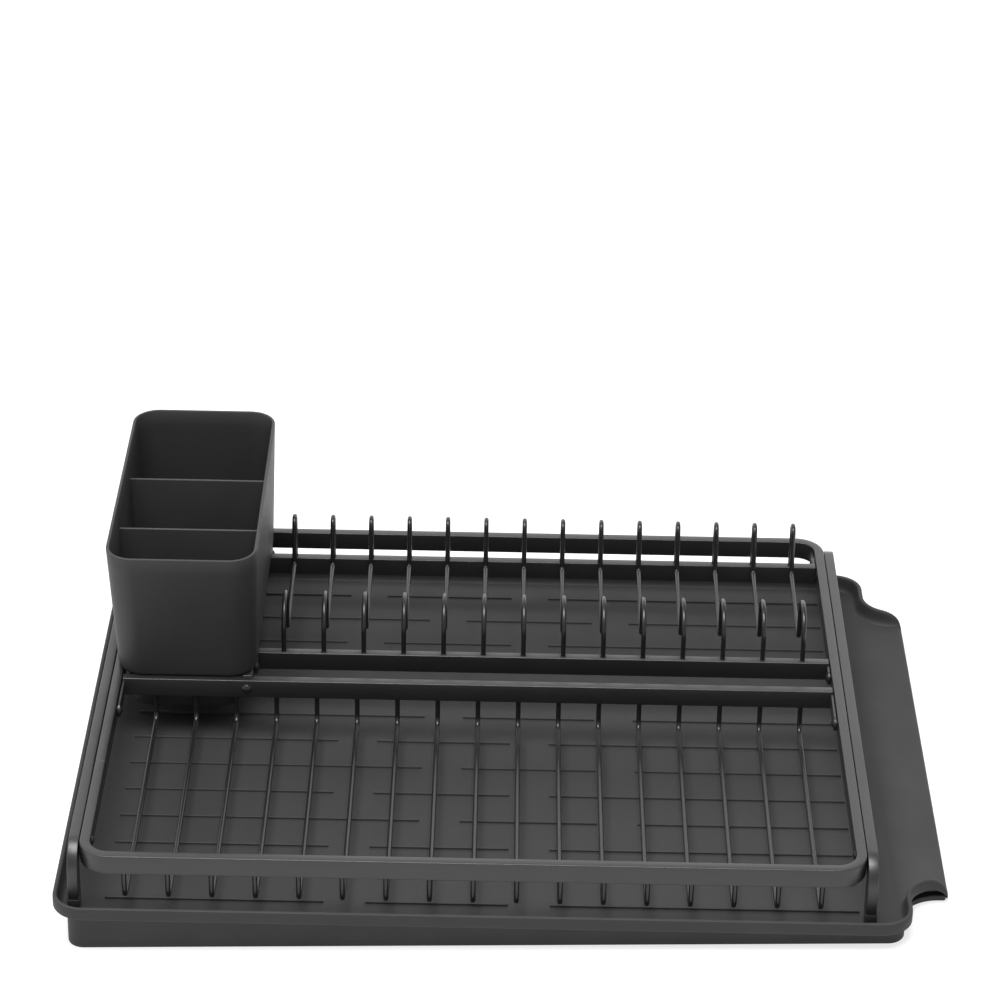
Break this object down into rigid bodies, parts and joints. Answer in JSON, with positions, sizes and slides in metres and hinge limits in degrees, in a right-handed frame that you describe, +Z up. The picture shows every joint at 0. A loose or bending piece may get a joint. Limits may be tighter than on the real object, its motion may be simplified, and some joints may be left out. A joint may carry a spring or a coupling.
{
  "type": "dish drying rack",
  "caption": "Flat-bar dish rack with wire grid, plate prongs and lift-out cutlery basket, standing in a sloping drip tray with a side spout.",
  "frame": {"origin": "middle of the footprint's bounding box, on the worktop", "axes": "+X along the tray towards the spout, +Y to the back, +Z up"},
  "size_m": [0.5205, 0.403, 0.149],
  "materials": {
    "tray_plastic": "fine moulded grain, dark grey",
    "basket_plastic": "fine moulded grain, dark grey",
    "coated_bar": "fine textured powder coat, dark grey",
    "coated_wire": "smooth powder coat, dark grey, semi-matt",
    "rivet_steel": "powder coated with the frame, semi-matt",
    "foot_rubber": "matt black"
  },
  "bodies": {
    "tray": {"drip_tray": "tray_plastic"},
    "rack": {"frame_ring": "coated_bar", "leg_left": "coated_bar", "leg_right": "coated_bar", "foot_front_left": "foot_rubber", "foot_rear_left": "foot_rubber", "foot_front_right": "foot_rubber", "foot_rear_right": "foot_rubber", "rivets_left": "rivet_steel", "rivets_right": "rivet_steel", "middle_bar": "coated_bar", "middle_bar_lugs": "coated_bar", "divider_bar": "coated_bar", "divider_rivets": "rivet_steel", "grid_wire_01": "coated_wire", "grid_wire_02": "coated_wire", "grid_wire_03": "coated_wire", "grid_wire_04": "coated_wire", "grid_wire_05": "coated_wire", "grid_wire_06": "coated_wire", "grid_wire_07": "coated_wire", "grid_wire_08": "coated_wire", "grid_wire_09": "coated_wire", "grid_wire_10": "coated_wire", "grid_wire_11": "coated_wire", "grid_wire_12": "coated_wire", "grid_wire_13": "coated_wire", "grid_wire_14": "coated_wire", "grid_wire_15": "coated_wire", "grid_wire_16": "coated_wire", "grid_wire_17": "coated_wire", "plate_front_bar": "coated_bar", "plate_rear_bar": "coated_bar", "plate_lugs": "coated_bar", "plate_rivets": "rivet_steel", "plate_wire_01": "coated_wire", "plate_wire_02": "coated_wire", "plate_wire_03": "coated_wire", "plate_wire_04": "coated_wire", "plate_wire_05": "coated_wire", "plate_wire_06": "coated_wire", "plate_wire_07": "coated_wire", "plate_wire_08": "coated_wire", "plate_wire_09": "coated_wire", "plate_wire_10": "coated_wire", "plate_wire_11": "coated_wire", "plate_wire_12": "coated_wire", "plate_wire_13": "coated_wire", "plate_wire_14": "coated_wire"},
    "basket": {"cutlery_basket": "basket_plastic"}
  },
  "joints": [
    {"name": "rack_lift", "type": "slide", "parent": "tray", "child": "rack", "axis": [0, 0, 1], "range_m": [0, 0.12]},
    {"name": "basket_lift", "type": "slide", "parent": "rack", "child": "basket", "axis": [0, 0, 1], "range_m": [0, 0.14]}
  ]
}
